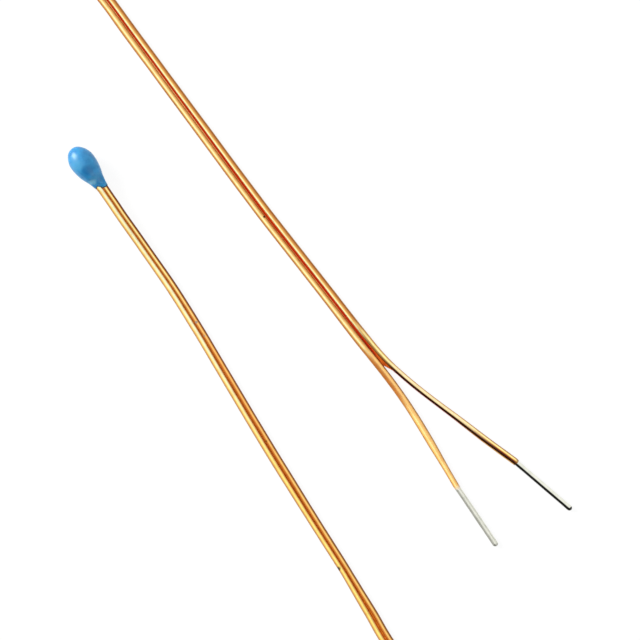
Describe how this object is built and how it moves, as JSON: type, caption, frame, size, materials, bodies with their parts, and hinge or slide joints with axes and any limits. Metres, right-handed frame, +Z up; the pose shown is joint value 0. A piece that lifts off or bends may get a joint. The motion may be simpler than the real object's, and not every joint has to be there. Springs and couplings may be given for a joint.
{
  "type": "bead thermistor",
  "caption": "Drop-shaped epoxy bead round a sensing chip, on a bonded pair of enamelled copper wires that part at a fork and end in tinned tips.",
  "frame": {"origin": "the point on the surface that the part lies on, under the widest section of the bead", "axes": "+Z up from that surface; the bead's lead leaves towards +X and -Y, 51 degrees below +X"},
  "size_m": [0.0347, 0.0508, 0.0013],
  "materials": {
    "epoxy": "glossy blue dipped epoxy",
    "chip_ceramic": "sawn dark ceramic",
    "silver": "fired silver",
    "tin": "solder dipped, slightly uneven",
    "copper": "drawn copper",
    "enamel": "clear amber enamel over copper",
    "bond_varnish": "orange-red bonding varnish"
  },
  "bodies": {
    "root": {"epoxy_bead": "epoxy", "thermistor_chip": "chip_ceramic", "electrode_a": "silver", "electrode_b": "silver", "solder_joint_a": "tin", "solder_joint_b": "tin", "conductor_a": "copper", "conductor_b": "copper", "enamel_a": "enamel", "enamel_b": "enamel", "bond_film": "bond_varnish", "tinned_tip_a": "tin", "tinned_tip_b": "tin"}
  },
  "joints": []
}
